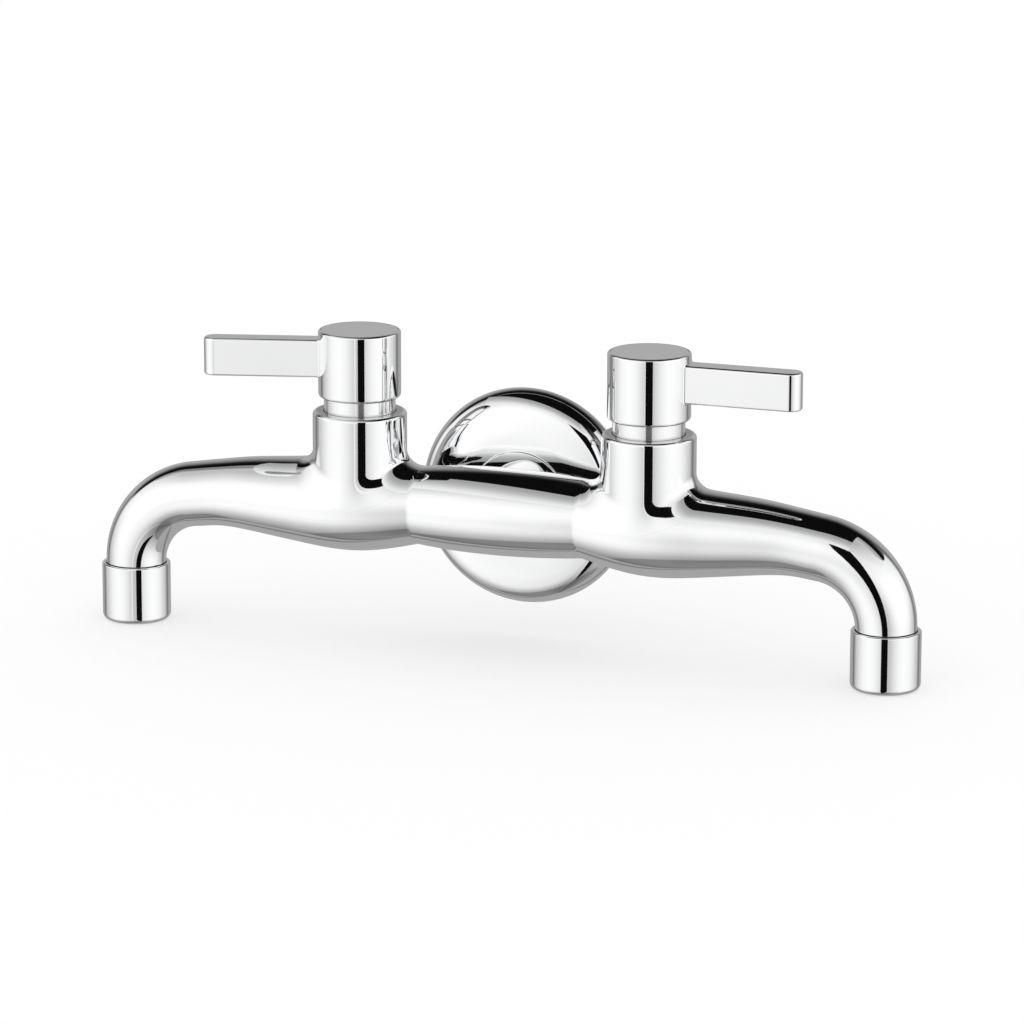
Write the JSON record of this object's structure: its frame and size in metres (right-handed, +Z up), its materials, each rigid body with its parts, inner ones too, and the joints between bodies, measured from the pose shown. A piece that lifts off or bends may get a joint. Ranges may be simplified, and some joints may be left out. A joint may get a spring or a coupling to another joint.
{
  "type": "double spout sink tap",
  "caption": "Wall-mounted double sink tap: one casting with a central inlet and domed wall plate, two lever valves and two bent spouts with aerators.",
  "frame": {"origin": "middle of the wall inlet on the wall plane, where the flange's rim stands", "axes": "+Y along the inlet into the wall, +X to the right for someone who faces the tap, +Z up; the tap stands out from the wall towards -Y"},
  "size_m": [0.3126, 0.0623, 0.1153],
  "materials": {
    "chromed_brass": "bright chrome plate on a cast and polished brass body",
    "chromed_flange": "bright chrome plate on a pressed plate",
    "chromed_trim": "bright chrome plate on a turned ring",
    "chromed_handle": "bright chrome plate on a cast handle",
    "chromed_cap": "bright chrome plate, plain, with no marks",
    "chromed_aerator": "bright chrome plate on a turned housing",
    "raw_brass": "turned brass, unplated",
    "black_rubber": "moulded nitrile rubber",
    "ceramic": "lapped alumina ceramic",
    "white_plastic": "acetal, moulded",
    "cage_plastic": "grey moulded plastic",
    "spring_steel": "spring steel, tumbled",
    "screw_steel": "stainless steel",
    "screen_steel": "etched stainless sheet"
  },
  "bodies": {
    "tap_body": {"body_casting": "chromed_brass", "wall_flange": "chromed_flange", "left_neck_ring": "chromed_trim", "left_cartridge_body": "raw_brass", "left_cartridge_seal_ring": "black_rubber", "left_seat_seal": "black_rubber", "left_fixed_disc": "ceramic", "left_aerator_cap": "chromed_aerator", "left_aerator_washer": "black_rubber", "left_aerator_insert": "cage_plastic", "left_aerator_screens": "screen_steel", "right_neck_ring": "chromed_trim", "right_cartridge_body": "raw_brass", "right_cartridge_seal_ring": "black_rubber", "right_seat_seal": "black_rubber", "right_fixed_disc": "ceramic", "right_aerator_cap": "chromed_aerator", "right_aerator_washer": "black_rubber", "right_aerator_insert": "cage_plastic", "right_aerator_screens": "screen_steel"},
    "left_handle": {"left_turning_disc": "ceramic", "left_thrust_washer": "white_plastic", "left_spindle": "raw_brass", "left_spindle_seals": "black_rubber", "left_spindle_clip": "spring_steel", "left_handle": "chromed_handle", "left_handle_screw": "screw_steel", "left_top_cap": "chromed_cap"},
    "right_handle": {"right_turning_disc": "ceramic", "right_thrust_washer": "white_plastic", "right_spindle": "raw_brass", "right_spindle_seals": "black_rubber", "right_spindle_clip": "spring_steel", "right_handle": "chromed_handle", "right_handle_screw": "screw_steel", "right_top_cap": "chromed_cap"}
  },
  "joints": [
    {"name": "left_handle_turn", "type": "hinge", "parent": "tap_body", "child": "left_handle", "pos_m": [-0.055, -0.028, 0.0511], "axis": [0, 0, 1], "range_deg": [-15, 75]},
    {"name": "right_handle_turn", "type": "hinge", "parent": "tap_body", "child": "right_handle", "pos_m": [0.055, -0.028, 0.0511], "axis": [0, 0, -1], "range_deg": [0, 90]}
  ]
}
